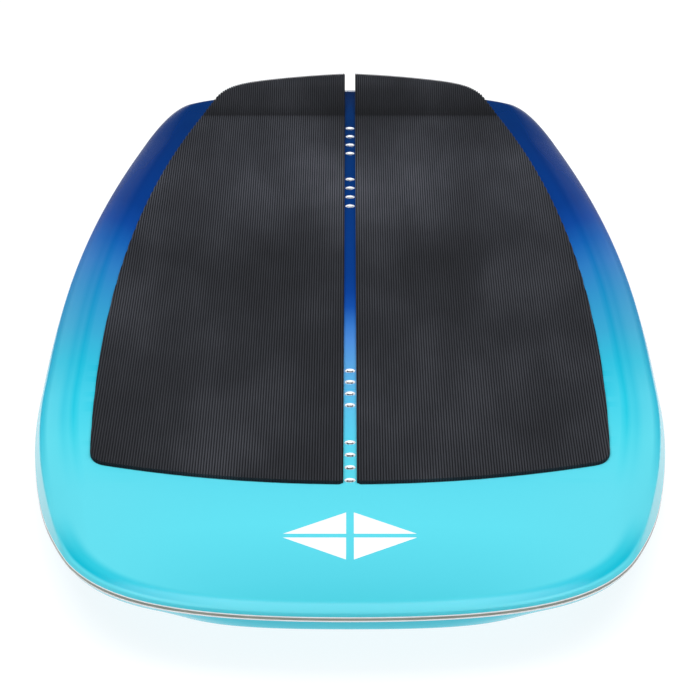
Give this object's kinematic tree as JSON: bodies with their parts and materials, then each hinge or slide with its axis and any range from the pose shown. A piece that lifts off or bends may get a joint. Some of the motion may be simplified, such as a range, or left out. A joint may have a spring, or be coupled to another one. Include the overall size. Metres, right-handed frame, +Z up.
{
  "type": "kite foil board",
  "caption": "Short blunt-nosed kite foil board with ribbed EVA deck pads, raised tail kick, centre-line strap inserts, and foil tracks with sliding nuts underneath.",
  "frame": {"origin": "centre of the bounding box's bottom face, on the plane of the flat bottom", "axes": "+Z up from the bottom to the deck, +Y along the board towards the tail, +X to the right seen from the nose"},
  "size_m": [0.4952, 1.22, 0.0678],
  "materials": {
    "painted_laminate": "gloss lacquer over laminate, deep blue at the tail fading to aqua at the nose",
    "painted_laminate_bottom": "gloss aqua lacquer over laminate",
    "rail_strip": "grey-brown strip between two white lines",
    "core_foam": "closed-cell foam",
    "stringer_wood": "sawn wood",
    "dense_foam": "dense structural foam",
    "track": "black glass-filled plastic",
    "nut_brass": "machined brass",
    "insert_steel": "bright turned steel",
    "ribbed_eva": "EVA foam sheet with fine grooves along the board",
    "eva_foam": "plain EVA foam",
    "vent_plastic": "black moulded plastic",
    "vent_membrane": "white vent membrane",
    "seal_rubber": "black rubber"
  },
  "bodies": {
    "board": {"deck_skin": "painted_laminate", "bottom_skin": "painted_laminate_bottom", "rail_strip": "rail_strip", "left_foam_core": "core_foam", "right_foam_core": "core_foam", "centre_stringer": "stringer_wood", "left_track_block": "dense_foam", "right_track_block": "dense_foam", "left_foil_track": "track", "right_foil_track": "track", "track_plate": "painted_laminate_bottom", "front_strap_front_block": "dense_foam", "front_strap_rear_block": "dense_foam", "rear_strap_front_block": "dense_foam", "rear_strap_rear_block": "dense_foam", "front_strap_front_inserts": "insert_steel", "front_strap_rear_inserts": "insert_steel", "rear_strap_front_inserts": "insert_steel", "rear_strap_rear_inserts": "insert_steel", "left_deck_pad": "ribbed_eva", "right_deck_pad": "ribbed_eva", "left_kick_wedge": "eva_foam", "right_kick_wedge": "eva_foam", "vent_housing": "vent_plastic", "vent_membrane": "vent_membrane", "vent_o_ring": "seal_rubber", "vent_cap": "vent_plastic"},
    "front_left_nut": {"front_left_nut": "nut_brass"},
    "front_right_nut": {"front_right_nut": "nut_brass"},
    "rear_left_nut": {"rear_left_nut": "nut_brass"},
    "rear_right_nut": {"rear_right_nut": "nut_brass"}
  },
  "joints": [
    {"name": "front_left_slide", "type": "slide", "parent": "board", "child": "front_left_nut", "axis": [0, 1, 0], "range_m": [-0.045, 0.045]},
    {"name": "front_right_slide", "type": "slide", "parent": "board", "child": "front_right_nut", "axis": [0, 1, 0], "range_m": [-0.045, 0.045]},
    {"name": "rear_left_slide", "type": "slide", "parent": "board", "child": "rear_left_nut", "axis": [0, 1, 0], "range_m": [-0.045, 0.045]},
    {"name": "rear_right_slide", "type": "slide", "parent": "board", "child": "rear_right_nut", "axis": [0, 1, 0], "range_m": [-0.045, 0.045]}
  ]
}
